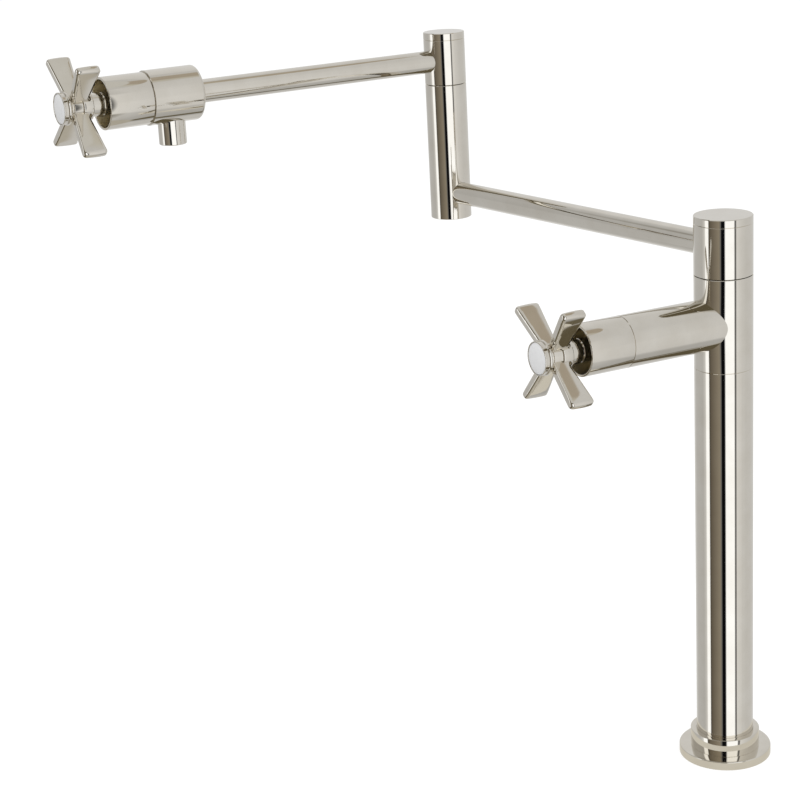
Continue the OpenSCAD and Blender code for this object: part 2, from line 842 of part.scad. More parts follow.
module knuckle_post() color(nickel) {
  post_h = elbow_seam_z - knuckle_bottom_z;
  arm_z = valve_top_z + swivel_rise - knuckle_bottom_z;
  at_knuckle(knuckle_bottom_z) difference() {
    barrel(knuckle_d, post_h, seam_break, seam_break);
    translate([0, 0, -eps]) cylinder(d = knuckle_way_d, h = post_h + 2 * eps);
    translate([0, 0, -eps]) cylinder(d = plug_d + 2 * seat_fit, h = plug_h + plug_recess + eps);
    translate([0, 0, post_h - spindle_thread_h])
      cylinder(d = knuckle_journal_d + 2 * seat_fit, h = spindle_thread_h + eps);
    along(lower_heading + 180, arm_z) {
      cylinder(d = arm_d - 2 * arm_wall, h = knuckle_d);
      translate([0, 0, arm_stop_in_post]) cylinder(d = arm_d + 2 * seat_fit, h = knuckle_d);
    }
  }
}

module knuckle_plug() color(brass) {
  at_knuckle(knuckle_bottom_z + plug_recess) difference() {
    cylinder(d = plug_d, h = plug_h);
    translate([0, 0, -eps]) cylinder(d = plug_key_w / cos(30), h = plug_key_h + eps, $fn = 6);
  }
}

module knuckle_spindle() { at_elbow() spindle(knuckle_journal_d, elbow_h, elbow_rise); }

module knuckle_spindle_seals() {
  at_elbow() spindle_seals(knuckle_journal_d, elbow_h, elbow_rise);
}

module knuckle_thrust_washers() {
  at_elbow() thrust_washers(knuckle_journal_d, knuckle_washer_d, elbow_h);
}

module knuckle_retainer() { at_elbow() retainer(knuckle_washer_d, elbow_h); }
module knuckle_retainer_screw() { at_elbow() retainer_screw(elbow_h); }

// Upper arm and spout

module elbow_head() {
  at_elbow()
    head(knuckle_d, elbow_h, elbow_rise, knuckle_journal_d, knuckle_washer_d, upper_heading);
}

module elbow_cap() { at_elbow() cap(knuckle_d, elbow_h, elbow_cap_h, knuckle_washer_d); }

module upper_arm_tube() color(nickel) {
  start = arm_start(knuckle_journal_d);
  at_elbow() along(upper_heading, elbow_rise) translate([0, 0, start])
    ring(arm_d, arm_d - 2 * arm_wall, upper_reach + arm_socket - start);
}

// Points a shape that runs along Z down from the spout axis at the nozzle
module at_nozzle() {
  translate([0, 0, -nozzle_back]) rotate([90, 0, 0]) children();
}

module spout_body() color(nickel) {
  at_spout_valve() difference() {
    translate([0, 0, -spout_body_len]) rotate_extrude() {
      polygon([
        [0, 0], [spout_body_d / 2 - spout_edge, 0], [spout_body_d / 2 - spout_edge, spout_edge],
        [spout_body_d / 2, spout_edge], [spout_body_d / 2, spout_body_len - seam_break],
        [spout_body_d / 2 - seam_break, spout_body_len], [0, spout_body_len]
      ]);
      translate([spout_body_d / 2 - spout_edge, spout_edge]) circle(r = spout_edge);
    }
    translate([0, 0, -spout_body_len - eps])
      cylinder(d = arm_d + 2 * seat_fit, h = arm_socket + eps);
    translate([0, 0, -spout_body_len]) cylinder(d = seat_way_d, h = spout_body_len);
    valve_pocket();
    at_nozzle() {
      cylinder(d = nozzle_way_d - 1, h = spout_body_d);
      translate([0, 0, nozzle_spigot_top])
        cylinder(d = nozzle_spigot_d + 2 * seat_fit, h = spout_body_d);
    }
  }
}

module spout_nozzle() color(nickel) {
  at_spout_valve() difference() {
    union() {
      difference() {
        at_nozzle() translate([0, 0, nozzle_spigot_top])
          barrel(nozzle_d, nozzle_drop - nozzle_spigot_top, 0, nozzle_edge);
        translate([0, 0, -spout_body_len])
          cylinder(d = spout_body_d + 2 * seat_fit, h = spout_body_len);
      }
      at_nozzle() translate([0, 0, nozzle_spigot_top])
        cylinder(d = nozzle_spigot_d, h = nozzle_pocket_top - nozzle_spigot_top);
    }
    at_nozzle() cylinder(d = nozzle_way_d, h = nozzle_drop + eps);
    at_nozzle() translate([0, 0, nozzle_pocket_top])
      cylinder(d = nozzle_pocket_d, h = nozzle_drop);
  }
}

module aerator_seal() color(rubber) {
  at_spout_valve() at_nozzle() translate([0, 0, nozzle_pocket_top])
    ring(cage_d, nozzle_way_d, aerator_seal_t);
}

module aerator_screen() color(steel) {
  at_spout_valve() at_nozzle()
    translate([0, 0, cage_top + cage_h - spider_h - screen_t]) difference() {
      cylinder(d = screen_d, h = screen_t);
      for (ix = [-2:2], iy = [-2:2])
        if (norm([ix, iy]) * screen_pitch < screen_d / 2 - screen_hole_d)
          translate([ix * screen_pitch, iy * screen_pitch, -eps])
            cylinder(d = screen_hole_d, h = screen_t + 2 * eps);
    }
}

module aerator_cage() color(plastic) {
  at_spout_valve() at_nozzle() translate([0, 0, cage_top]) {
    ring(cage_d, cage_d - 2 * cage_wall, cage_h);
    intersection() {
      cylinder(d = cage_d - cage_wall, h = cage_h);
      for (a = [0, 60, 120])
        rotate([0, 0, a]) translate([-cage_d / 2, -spider_bar_w / 2, cage_h - spider_h])
          cube([cage_d, spider_bar_w, spider_h]);
    }
  }
}

// Spout valve

module spout_seat_seal() { at_spout_valve() seat_seal(); }
module spout_fixed_disc() { at_spout_valve() fixed_disc(); }
module spout_cartridge() { at_spout_valve() cartridge(); }
module spout_cartridge_seal() { at_spout_valve() cartridge_seal(); }
module spout_sleeve() { at_spout_valve() sleeve(spout_sleeve_d); }
module spout_moving_disc() { at_spout_valve() moving_disc(); }
module spout_stem() { at_spout_valve() stem(); }
module spout_stem_seals() { at_spout_valve() stem_seals(); }
module spout_skirt() { at_spout_valve() skirt(spout_handle_turn); }
module spout_cross_handle() { at_spout_valve() cross_handle(spout_handle_turn); }
module spout_handle_screw() { at_spout_valve() handle_screw(); }
module spout_bezel() { at_spout_valve() bezel(); }
module spout_index() { at_spout_valve() index_button(); }

deck_gasket();
base_flange();
base_collar();
mounting_shank();
under_deck_seal();
clamp_washer();
mounting_nut();
column_tube();
riser_tube();
riser_seals();
valve_body();
column_seat_seal();
column_fixed_disc();
column_cartridge();
column_cartridge_seal();
column_sleeve();
column_spindle();
column_spindle_seals();
column_thrust_washers();
column_retainer();
column_retainer_screw();
swivel_head();
swivel_cap();
lower_arm_tube();
knuckle_post();
knuckle_plug();
knuckle_spindle();
knuckle_spindle_seals();
knuckle_thrust_washers();
knuckle_retainer();
knuckle_retainer_screw();
elbow_head();
elbow_cap();
upper_arm_tube();
spout_body();
spout_seat_seal();
spout_fixed_disc();
spout_cartridge();
spout_cartridge_seal();
spout_sleeve();
spout_nozzle();
aerator_seal();
aerator_screen();
aerator_cage();
column_moving_disc();
column_stem();
column_stem_seals();
column_skirt();
column_cross_handle();
column_handle_screw();
column_bezel();
column_index();
spout_moving_disc();
spout_stem();
spout_stem_seals();
spout_skirt();
spout_cross_handle();
spout_handle_screw();
spout_bezel();
spout_index();
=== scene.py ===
# %% [markdown]
# # A polished nickel pot filler, dressed in Blender
#
# The frame that loads below is the plain mechanical model of a deck-mounted
# pot filler: a tall column, two swinging arms and two quarter-turn valves with
# cross handles. Every solid is already the right size and in the right place.
# This lesson keeps those solids, gives each one a finish, remakes the pieces
# whose soft edges the plain solids only hint at, and lights the whole thing
# the way a small studio would.

# %% Start from an empty scene and load the frame
import json
import math

import bmesh
import bpy
from mathutils import Matrix, Vector

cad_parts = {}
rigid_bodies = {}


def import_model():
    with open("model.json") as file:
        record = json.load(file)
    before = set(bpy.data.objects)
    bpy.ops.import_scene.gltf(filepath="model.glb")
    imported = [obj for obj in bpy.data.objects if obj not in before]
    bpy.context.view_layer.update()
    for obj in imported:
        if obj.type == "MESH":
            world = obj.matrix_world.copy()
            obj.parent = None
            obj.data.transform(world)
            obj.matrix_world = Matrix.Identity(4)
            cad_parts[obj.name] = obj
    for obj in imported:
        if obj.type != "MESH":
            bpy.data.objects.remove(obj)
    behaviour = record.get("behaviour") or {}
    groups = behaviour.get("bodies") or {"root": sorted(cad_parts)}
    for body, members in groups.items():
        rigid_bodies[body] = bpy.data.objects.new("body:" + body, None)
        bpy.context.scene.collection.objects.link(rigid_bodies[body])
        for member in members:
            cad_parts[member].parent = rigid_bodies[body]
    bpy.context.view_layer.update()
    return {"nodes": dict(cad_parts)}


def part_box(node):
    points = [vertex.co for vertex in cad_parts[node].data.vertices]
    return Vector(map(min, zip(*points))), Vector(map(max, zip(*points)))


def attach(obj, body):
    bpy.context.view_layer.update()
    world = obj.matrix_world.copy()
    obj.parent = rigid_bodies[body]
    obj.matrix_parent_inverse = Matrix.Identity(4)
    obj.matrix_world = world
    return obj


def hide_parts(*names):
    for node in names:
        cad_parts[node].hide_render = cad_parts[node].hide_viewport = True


for leftover in list(bpy.data.objects):
    bpy.data.objects.remove(leftover)
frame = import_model()
nodes = frame["nodes"]
MM = 0.001

# %% [markdown]
# ## The camera
#
# A product photograph is usually taken from well back with a long lens, so
# that near and far parts keep their proportions. A 90 mm lens on a 36 mm
# sensor does that. The camera looks down at about seventeen degrees and leans
# by three, which is common when a tripod head is set by eye.

# %% Camera
HEADING = math.radians(153.126)
PITCH = math.radians(17.056)
LEAN = math.radians(-3.037)
CAMERA_PLACE = (1.01103, -0.74799, 0.64346)
LENS, SENSOR = 90, 36


def aimed_camera(place, heading, pitch, lean, lens):
    forward = Vector((math.cos(heading) * math.cos(pitch),
                      math.sin(heading) * math.cos(pitch), -math.sin(pitch)))
    level = Vector((math.sin(heading), -math.cos(heading), 0))
    upward = level.cross(forward)
    right = math.cos(lean) * level + math.sin(lean) * upward
    top = math.cos(lean) * upward - math.sin(lean) * level
    data = bpy.data.cameras.new("studio_camera")
    data.lens, data.sensor_width = lens, SENSOR
    data.clip_start, data.clip_end = 0.05, 30
    camera = bpy.data.objects.new("studio_camera", data)
    bpy.context.scene.collection.objects.link(camera)
    turn = Matrix((right, top, -forward)).transposed().to_4x4()
    camera.matrix_world = Matrix.Translation(place) @ turn
    return camera


camera = aimed_camera(CAMERA_PLACE, HEADING, PITCH, LEAN, LENS)
bpy.context.scene.camera = camera
bpy.context.scene.view_settings.view_transform = "Standard"
print("camera", round(camera.location.length, 2), "m from the base")

# %% [markdown]
# ## Small helpers for node trees
#
# Every finish below is a short chain of shader nodes. Four helpers keep the
# chains readable: one makes a node and fills its sockets, one makes a colour
# ramp, one squeezes a pattern into a narrow range, and one starts a new
# material with a Principled shader. Patterns read Object coordinates, so they
# stay fixed to the metal when a part swings.

# %% Node helpers


def add_node(tree, kind, *, links=None, **settings):
    """Makes a node. A setting fills the node's own field, or else its socket."""
    node = tree.nodes.new("ShaderNode" + kind)
    for key, value in settings.items():
        if hasattr(node, key):
            setattr(node, key, value)
        else:
            node.inputs[key.replace("_", " ")].default_value = value
    for socket, source in (links or {}).items():
        tree.links.new(source, node.inputs[socket])
    return node


def add_ramp(tree, factor, stops):
    ramp = add_node(tree, "ValToRGB", links={0: factor})
    elements = ramp.color_ramp.elements
    while len(elements) < len(stops):
        elements.new(1.0)
    for element, (place, colour) in zip(elements, stops):
        element.position = place
        element.color = (*colour, 1)
    return ramp.outputs[0]


def squeezed(tree, factor, low, high):
    squeeze = add_node(tree, "MapRange", links={0: factor})
    squeeze.inputs["To Min"].default_value = low
    squeeze.inputs["To Max"].default_value = high
    return squeeze.outputs[0]


def new_finish(name, **sockets):
    finish = bpy.data.materials.new(name)
    finish.use_nodes = True
    tree = finish.node_tree
    shader = tree.nodes["Principled BSDF"]
    for key, value in sockets.items():
        shader.inputs[key.replace("_", " ")].default_value = value
    coordinates = add_node(tree, "TexCoord").outputs["Object"]
    return finish, tree, shader, coordinates


print("helpers ready")

# %% [markdown]
# ## Polished nickel
#
# Nickel is a mirror, only warmer than chrome. A buffed part is never quite a
# perfect mirror: the wheel leaves hair lines and a faint cloudiness, and cast
# pieces ripple a little. Here the cloudiness moves the colour and the
# roughness by a few hundredths, fine noise adds the buffing haze, and a very
# weak bump gives the ripple. The tint itself is one short ramp of metal colour,
# because on a mirror most of what is seen comes from the room.

# %% Polished nickel
NICKEL_DEEP = (0.735, 0.695, 0.620)
NICKEL_LIGHT = (0.790, 0.755, 0.685)
CLOUD_SCALE, HAZE_SCALE = 55.0, 2600.0
CLOUD_ROUGHNESS, HAZE_ROUGHNESS = (0.02, 0.05), (0.0, 0.02)

nickel, tree, shader, coordinates = new_finish("polished_nickel", Metallic=1.0)
cloud = add_node(tree, "TexNoise", Scale=CLOUD_SCALE, Detail=3.0, Roughness=0.55,
                 links={"Vector": coordinates})
haze = add_node(tree, "TexNoise", Scale=HAZE_SCALE, Detail=2.0, Roughness=0.6,
                links={"Vector": coordinates})
tree.links.new(add_ramp(tree, cloud.outputs[0], [(0.3, NICKEL_DEEP), (0.7, NICKEL_LIGHT)]),
               shader.inputs["Base Color"])
cloud_part = squeezed(tree, cloud.outputs[0], *CLOUD_ROUGHNESS)
haze_part = squeezed(tree, haze.outputs[0], *HAZE_ROUGHNESS)
rough = add_node(tree, "Math", operation="ADD", links={0: cloud_part, 1: haze_part})
tree.links.new(rough.outputs[0], shader.inputs["Roughness"])
ripple = add_node(tree, "Bump", Strength=0.05, Distance=0.0002,
                  links={"Height": cloud.outputs[0]})
tree.links.new(ripple.outputs[0], shader.inputs["Normal"])
print("polished nickel:", len(tree.nodes), "nodes")

# %% [markdown]
# ## Machined brass and stainless steel
#
# Under the deck and inside the valves the metal is left as it came off the
# lathe. Only the cartridges, whose hex shows inside each sleeve, and the bore
# round them are plated. Turning leaves rings, so these finishes stretch a noise
# until it is nearly all rings: its sample point moves eight times as fast along
# the height as across. The rings go into roughness and bump too.

# %% Machined metals
RING_STRETCH = 8.0


def machined(name, dark, light, scale, rough_low, rough_high):
    finish, tree, shader, coordinates = new_finish(name, Metallic=1.0)
    stretch = add_node(tree, "Mapping", links={"Vector": coordinates})
    stretch.inputs["Scale"].default_value = (1.0, 1.0, RING_STRETCH)
    rings = add_node(tree, "TexNoise", Scale=scale, Detail=4.0, Roughness=0.6,
                     links={"Vector": stretch.outputs[0]})
    stain = add_node(tree, "TexNoise", Scale=90.0, Detail=3.0,
                     links={"Vector": coordinates})
    mixed = add_node(tree, "Math", operation="MULTIPLY",
                     links={0: rings.outputs[0], 1: stain.outputs[0]})
    tree.links.new(add_ramp(tree, mixed.outputs[0], [(0.12, dark), (0.42, light)]),
                   shader.inputs["Base Color"])
    tree.links.new(squeezed(tree, rings.outputs[0], rough_low, rough_high),
                   shader.inputs["Roughness"])
    bump = add_node(tree, "Bump", Strength=0.05, Distance=0.0001,
                    links={"Height": rings.outputs[0]})
    tree.links.new(bump.outputs[0], shader.inputs["Normal"])
    return finish


brass = machined("turned_brass", (0.50, 0.33, 0.11), (0.80, 0.60, 0.27), 140, 0.16, 0.3)
steel = machined("stainless_steel", (0.40, 0.40, 0.41), (0.66, 0.66, 0.67), 160, 0.18, 0.32)
plating = machined("plated_brass", (0.84, 0.77, 0.60), (0.96, 0.90, 0.74), 120, 0.24, 0.36)
print("machined finishes:", brass.name, steel.name, plating.name)

# %% [markdown]
# ## Rubber, nylon, ceramic and porcelain
#
# These four are not metals, so they differ in how light enters them. Rubber
# is dark and dull with a moulding grain. Nylon washers pass a little light.
# The sealing discs are sintered ceramic: pale, fine-grained, with a soft
# sheen. The porcelain index button is glazed, so a clear coat lies over a
# white body that carries the faint orange peel of fired glaze.

# %% Rubber, nylon, ceramic and porcelain


def moulded(name, dark, light, grain, bump_strength, rough_low, rough_high, **sockets):
    finish, tree, shader, coordinates = new_finish(name, **sockets)
    speckle = add_node(tree, "TexNoise", Scale=grain, Detail=4.0, Roughness=0.6,
                       links={"Vector": coordinates})
    tree.links.new(add_ramp(tree, speckle.outputs[0], [(0.32, dark), (0.68, light)]),
                   shader.inputs["Base Color"])
    tree.links.new(squeezed(tree, speckle.outputs[0], rough_low, rough_high),
                   shader.inputs["Roughness"])
    bump = add_node(tree, "Bump", Strength=bump_strength, Distance=0.0001,
                    links={"Height": speckle.outputs[0]})
    tree.links.new(bump.outputs[0], shader.inputs["Normal"])
    return finish


rubber = moulded("black_rubber", (0.012, 0.012, 0.013), (0.035, 0.035, 0.037),
                 1400, 0.25, 0.5, 0.68)
nylon = moulded("white_nylon", (0.74, 0.73, 0.70), (0.84, 0.83, 0.80),
                700, 0.1, 0.38, 0.5, Subsurface_Weight=0.15)
ceramic = moulded("sintered_ceramic", (0.78, 0.74, 0.66), (0.90, 0.87, 0.80),
                  1100, 0.08, 0.22, 0.34)
porcelain = moulded("glazed_porcelain", (0.925, 0.928, 0.930), (0.955, 0.957, 0.958),
                    420, 0.06, 0.12, 0.2, Coat_Weight=1.0, Coat_Roughness=0.04)
print("finishes:", rubber.name, nylon.name, ceramic.name, porcelain.name)

# %% [markdown]
# ## Give every loaded solid its finish
#
# The frame's solids carry the names of their material slots. Swapping each
# slot's plain material for the finish with the same meaning dresses all the
# hidden mechanics in one pass, so the cut-away views look right as well.

# %% Dress the loaded solids
FINISH_OF_SLOT = {
    "polished_nickel": nickel, "brass": brass, "stainless_steel": steel,
    "black_rubber": rubber, "white_nylon": nylon,
    "white_ceramic": ceramic, "white_porcelain": porcelain,
}
PLATED = ("column_cartridge", "spout_cartridge")
dressed = 0
for name, solid in nodes.items():
    for holder in solid.material_slots:
        plain_name = holder.material.name.split(".")[0]
        holder.material = plating if name in PLATED else FINISH_OF_SLOT[plain_name]
        dressed += 1
print("dressed", dressed, "slots")

# %% [markdown]
# ## Turned pieces
#
# Most of this tap comes off a lathe, and the same idea makes it here: a half
# profile of points, each with its own rounding, is spun once round an axis.
# Rounding the profile's corners before the spin gives every edge the small
# radius that catches a bright line in a photograph.

# %% A lathe
TURNED_STEPS = 128


def lathe(profile):
    """Spins (radius, height, rounding) points in millimetres, a closed loop, about Z."""
    shape = bmesh.new()
    corners = [shape.verts.new((r * MM, 0, z * MM)) for r, z, _ in profile]
    for one, other in zip(corners, corners[1:] + corners[:1]):
        shape.edges.new((one, other))
    for corner, (_, _, rounding) in zip(corners, profile):
        if rounding:
            bmesh.ops.bevel(shape, geom=[corner], offset=rounding * MM,
                            offset_type="OFFSET", segments=4, profile=0.5,
                            affect="VERTICES", material=-1)
    bmesh.ops.spin(shape, geom=shape.verts[:] + shape.edges[:], cent=(0, 0, 0),
                   axis=(0, 0, 1), angle=2 * math.pi, steps=TURNED_STEPS, use_merge=True)
    bmesh.ops.remove_doubles(shape, verts=shape.verts, dist=1e-6)
    bmesh.ops.dissolve_degenerate(shape, edges=shape.edges, dist=1e-7)
    bmesh.ops.recalc_face_normals(shape, faces=shape.faces)
    return shape


def finished(name, shape, place, finish, slot, body, *stands_for, crease=35):
    """Puts a bmesh where it belongs and hands it to the body that carries it."""
    bmesh.ops.transform(shape, matrix=place, verts=shape.verts)
    for edge in shape.edges:
        edge.smooth = edge.calc_face_angle(math.pi) < math.radians(crease)
    for face in shape.faces:
        face.smooth = True
    mesh = bpy.data.meshes.new(name)
    shape.to_mesh(mesh)
    shape.free()
    piece = bpy.data.objects.new(name, mesh)
    bpy.context.scene.collection.objects.link(piece)
    mesh.materials.append(finish)
    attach(piece, body)
    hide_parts(*stands_for)
    print(name, len(mesh.polygons), "faces")
    return piece


print("lathe ready")

# %% [markdown]
# ## Where the two valves are
#
# Both valves have the same handle, bezel and button, drawn once along their
# own axis and set in place by a matrix. On the column the box of the sleeve
# says where the axis lies: the middle of the box is on it, and the face that
# meets the column is the seam that all the lengths are counted from. The
# spout's valve continues the upper arm, so its seam is a length along the
# heading of that arm, counted from the knuckle.

# %% Valve axes
COLUMN_SLEEVE_LOW, COLUMN_SLEEVE_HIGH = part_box("column_sleeve")
VALVE_HEIGHT = (COLUMN_SLEEVE_LOW.z + COLUMN_SLEEVE_HIGH.z) / 2
UPPER_HEADING = 272.1
KNUCKLE = Vector((-0.27868, -0.04314, 0.45045))
SPOUT_SEAM = 0.2366

column_valve = (Matrix.Translation((0, COLUMN_SLEEVE_HIGH.y, VALVE_HEIGHT))
                @ Matrix.Rotation(math.radians(90), 4, "X"))
spout_valve = (Matrix.Translation(KNUCKLE)
               @ Matrix.Rotation(math.radians(UPPER_HEADING + 90), 4, "Z")
               @ Matrix.Rotation(math.radians(90), 4, "X")
               @ Matrix.Translation((0, 0, SPOUT_SEAM)))
print("column valve seam at", [round(v, 4) for v in column_valve.translation],
      "spout valve seam at", [round(v, 4) for v in spout_valve.translation])

# %% [markdown]
# ## The cross handles
#
# Each handle is a turned hub with four flared blades, cast in one piece and
# buffed until no edge is left sharp. A blade starts as a flat outline: narrow
# at the hub, wide and gently domed at the tip, with a hollow curve where its
# back edge runs into the hub ring. The outline is pulled up to the blade's
# thickness, and the rims are rounded almost all the way round.
#
# The faces of such a blade are nearly flat. They are crowned by less than a
# fifth of a millimetre, the casting thins a little towards its front edge, and
# the last few millimetres fall away to the tip. So one face shows two tones
# with a clear line between them. Thin slices are cut across the faces first,
# and then every slice gets its own thickness.

# %% One blade
BLADE_ROOT, BLADE_TIP = 7.0, 40.7
BLADE_ROOT_HALF, BLADE_TIP_HALF = 5.8, 8.6
BLADE_THICKNESS = 6.2
BLADE_MIDDLE = 49.4
BLADE_EDGE = 2.1
HUB_RING = 9.2
RING_BACK = 9.3
TAPER, CROWN = 0.0227, 0.0022
DOME_START, DOME = 33.0, 0.5
SHARP = 1.2
SLICES_ACROSS = range(-8, 9)
SLICES_ALONG = (12, 16, 20, 24, 28, 32, 34, 36, 38)


def half_thickness(x, z):
    """Half of the blade's thickness at a place on its face, in millimetres."""
    across = TAPER * z + CROWN * z ** 2
    to_tip = (max(DOME_START, x) - DOME_START) / (BLADE_TIP - DOME_START)
    return BLADE_THICKNESS / 2 - across - DOME * to_tip ** 2


def blade():
    """One blade along X, from an outline of (x, z, rounding) points in millimetres."""
    shape = bmesh.new()
    outline = [(BLADE_ROOT, -RING_BACK, 0), (HUB_RING, -RING_BACK, 0),
               (HUB_RING, -BLADE_ROOT_HALF, 4.0), (BLADE_TIP - 0.5, -BLADE_TIP_HALF, 2.2),
               (BLADE_TIP, -3.0, 2.0), (BLADE_TIP - 0.1, 3.0, 2.0),
               (BLADE_TIP - 0.5, BLADE_TIP_HALF, 2.6), (BLADE_ROOT, BLADE_ROOT_HALF, 0)]
    rim = [shape.verts.new((x * MM, -BLADE_THICKNESS / 2 * MM, z * MM)) for x, z, _ in outline]
    shape.faces.new(rim)
    for corner, (_, _, rounding) in zip(rim, outline):
        if rounding:
            bmesh.ops.bevel(shape, geom=[corner], offset=rounding * MM, segments=8,
                            profile=0.5, affect="VERTICES", material=-1)
    pulled = bmesh.ops.extrude_face_region(shape, geom=shape.faces[:])
    top = [v for v in pulled["geom"] if isinstance(v, bmesh.types.BMVert)]
    bmesh.ops.translate(shape, verts=top, vec=(0, BLADE_THICKNESS * MM, 0))
    bmesh.ops.recalc_face_normals(shape, faces=shape.faces)
    rims = [e for e in shape.edges
            if e.calc_face_angle(0) > SHARP  # in radians, a little under 70 degrees
            and max(v.co.x for v in e.verts) > (HUB_RING + 0.1) * MM
            and all(abs(v.co.y) > 1.0 * MM for v in e.verts)
            and abs(e.verts[0].co.y - e.verts[1].co.y) < 0.1 * MM]
    bmesh.ops.bevel(shape, geom=rims, offset=BLADE_EDGE * MM, segments=6, profile=0.5,
                    affect="EDGES", material=-1)
    cuts = [((0, 0, z * MM), (0, 0, 1)) for z in SLICES_ACROSS]
    cuts += [((x * MM, 0, 0), (1, 0, 0)) for x in SLICES_ALONG]
    for place, facing in cuts:
        bmesh.ops.bisect_plane(shape, geom=shape.verts[:] + shape.edges[:] + shape.faces[:],
                               plane_co=place, plane_no=facing, dist=1e-6)
    for point in shape.verts:
        wanted = half_thickness(point.co.x / MM, point.co.z / MM)
        point.co.y *= wanted / (BLADE_THICKNESS / 2)
    return shape


sample = blade()
print("blade:", len(sample.faces), "faces,",
      round(2 * max(v.co.y for v in sample.verts) / MM, 2), "mm thick")
sample.free()

# %% [markdown]
# The hub is hollow where the square tenon and the fixing screw go, so its
# profile is a closed loop that runs up the outside and back down the bore.
# A broad ring backs the blades, and two beads ring the neck in front of them.

# %% Hub and blades together
HUB_PROFILE = [
    (5.7, 40.0, 0), (9.2, 40.0, 0.5), (9.2, 47.2, 0.8), (8.0, 47.3, 0.5), (8.0, 53.3, 0.3),
    (7.3, 53.4, 0), (7.75, 53.62, 0.1), (7.95, 54.05, 0.25),
    (7.75, 54.5, 0.1), (7.3, 54.72, 0.05), (7.75, 54.95, 0.1), (7.95, 55.4, 0.25),
    (7.75, 55.85, 0.1), (7.3, 56.02, 0), (7.3, 56.1, 0),
    (4.65, 56.1, 0), (4.65, 50.3, 0), (2.7, 50.3, 0), (2.7, 49.2, 0), (5.7, 49.2, 0),
]


def cross_handle(name, place, turn, body, node):
    whole = lathe(HUB_PROFILE)
    for quarter in range(4):
        one = blade()
        bmesh.ops.translate(one, verts=one.verts, vec=(0, 0, BLADE_MIDDLE * MM))
        bmesh.ops.rotate(one, verts=one.verts, cent=(0, 0, 0),
                         matrix=Matrix.Rotation(quarter * math.pi / 2, 3, "Z"))
        held = bpy.data.meshes.new("held")
        one.to_mesh(held)
        one.free()
        whole.from_mesh(held)
        bpy.data.meshes.remove(held)
    turned = place @ Matrix.Rotation(math.radians(turn), 4, "Z")
    return finished(name, whole, turned, nickel, "polished_nickel", body, node)


COLUMN_HANDLE_TURN, SPOUT_HANDLE_TURN = 52, 44
cross_handle("column_handle_cross", column_valve, COLUMN_HANDLE_TURN,
             "column_handle", "column_cross_handle")
cross_handle("spout_handle_cross", spout_valve, SPOUT_HANDLE_TURN,
             "spout_handle", "spout_cross_handle")

# %% [markdown]
# ## Bezels and index buttons
#
# A bezel closes the front of each handle and holds a porcelain button. Its
# back is a full round bead, then comes a waist, then a thin lip round the
# button. The button is slightly domed and its rim is rounded over, so a thin
# dark line shows where glaze meets metal.

# %% Bezels and buttons
BEZEL_PROFILE = [
    (4.6, 53.7, 0.2), (4.6, 56.1, 0), (11.4, 56.1, 1.1), (11.4, 58.4, 1.1), (10.6, 58.5, 0.15),
    (10.6, 60.55, 0.15), (10.9, 60.65, 0.1), (10.9, 61.6, 0.35), (10.2, 61.6, 0.2),
    (10.15, 58.6, 0), (0, 58.6, 0), (0, 53.7, 0),
]
BUTTON_PROFILE = [
    (0, 58.6, 0), (10.05, 58.6, 0), (10.05, 61.35, 0.4), (7.0, 61.74, 0), (3.5, 61.93, 0),
    (0, 61.99, 0),
]
for side, place in (("column", column_valve), ("spout", spout_valve)):
    body = side + "_handle"
    finished(side + "_handle_bezel", lathe(BEZEL_PROFILE), place, nickel,
             "polished_nickel", body, side + "_bezel")
    finished(side + "_index_button", lathe(BUTTON_PROFILE), place, porcelain,
             "white_porcelain", body, side + "_index", crease=50)

# %% [markdown]
# ## Valve sleeves
#
# Each valve ends in a thin tube that stands open round the skirt of the handle.
# Its outside is polished, but a buffing wheel can't reach down the bore, so
# the bore keeps a satin, slightly yellow face from the plating tank. The tube
# is turned again here so that its two sides can have a finish each.

# %% Valve sleeves
SLEEVE_LENGTH, SLEEVE_WALL, WEB, THREAD = 31.6, 1.5, 2.4, 11.05
SEAM_BREAK, LIP = 0.3, 0.35
COLUMN_SLEEVE_RADIUS, SPOUT_SLEEVE_RADIUS = 16.75, 17.8
for side, place, radius, body in (("column", column_valve, COLUMN_SLEEVE_RADIUS, "column"),
                                  ("spout", spout_valve, SPOUT_SLEEVE_RADIUS, "upper_arm")):
    bore = radius - SLEEVE_WALL
    outline = [(THREAD, 0, 0), (radius, 0, SEAM_BREAK), (radius, SLEEVE_LENGTH, LIP),
               (bore, SLEEVE_LENGTH, LIP), (bore, WEB, SEAM_BREAK), (THREAD, WEB, 0)]
    sleeve = finished(side + "_valve_sleeve", lathe(outline), place, nickel,
                      "polished_nickel", body, side + "_sleeve")
    sleeve.data.materials.append(plating)
    back = place.inverted()
    for face in sleeve.data.polygons:
        middle = back @ face.center
        in_bore = math.hypot(middle.x, middle.y) < (bore + 0.05) * MM
        below_lip = middle.z < (SLEEVE_LENGTH - SEAM_BREAK) * MM
        face.material_index = 1 if in_bore and below_lip else 0

# %% [markdown]
# ## Flange and collar
#
# The foot is two plain rings, one on the other, turned from thick bar so that
# they look solid: a flange that hides the hole in the deck, and a collar that
# slides down the column on to it. Only their edges are broken. The column
# stands in the flange, so the flange has a step in its bore.

